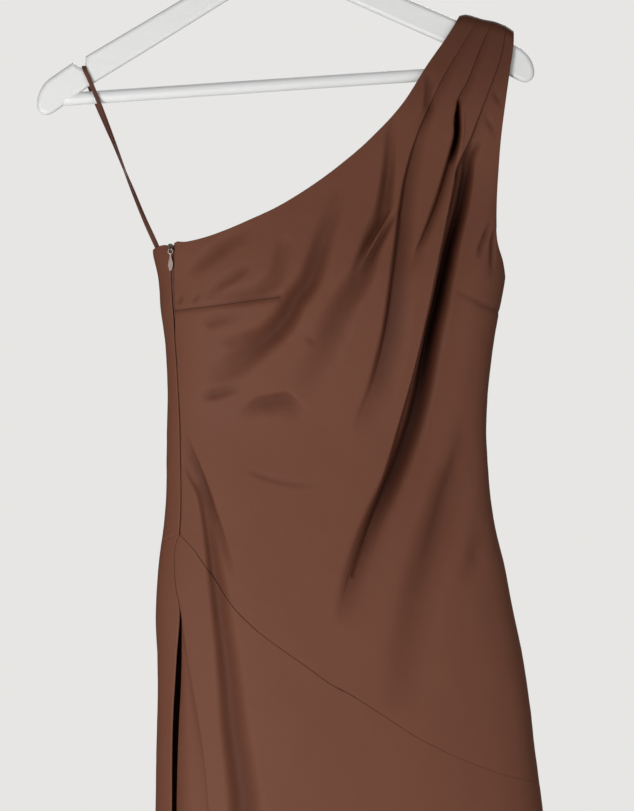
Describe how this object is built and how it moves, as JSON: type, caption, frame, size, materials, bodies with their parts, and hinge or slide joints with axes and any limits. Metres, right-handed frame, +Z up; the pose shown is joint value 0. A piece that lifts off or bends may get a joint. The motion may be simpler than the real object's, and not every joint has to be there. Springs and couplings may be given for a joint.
{
  "type": "one-shoulder dress on a hanger",
  "caption": "Long one-shoulder satin dress with pleats from the shoulder, a slanting hip seam, a zip in the front left and a slit, hung on a wooden hanger with a trouser bar.",
  "frame": {"origin": "where the inside of the hanger's hook rests on its rail", "axes": "the front of the dress faces -Y, +X is to the right as seen from the front, +Z is up and runs along the length"},
  "size_m": [0.4944, 0.1253, 1.3819],
  "materials": {
    "dress_cloth": "plain matte satin, chocolate brown",
    "ribbon_satin": "narrow satin ribbon",
    "zip_nylon": "dyed nylon coil and tape",
    "zip_metal": "pale enamelled zinc",
    "hanger_paint": "satin white lacquer",
    "hook_wire": "polished plated wire"
  },
  "bodies": {
    "dress": {"front_bodice": "dress_cloth", "back_bodice": "dress_cloth", "front_skirt": "dress_cloth", "back_skirt": "dress_cloth", "slit_underlap": "dress_cloth", "zip_chain": "zip_nylon", "zip_slider": "zip_metal", "hanger_loop": "ribbon_satin", "hanger_arms": "hanger_paint", "hanger_bar": "hanger_paint", "hanger_hook": "hook_wire"},
    "pull_tab": {"zip_pull": "zip_metal"}
  },
  "joints": [
    {"name": "pull_hinge", "type": "hinge", "parent": "dress", "child": "pull_tab", "pos_m": [-0.0904, -0.02624, -0.3386], "axis": [-1, 0, 0], "range_deg": [0, 150]}
  ]
}
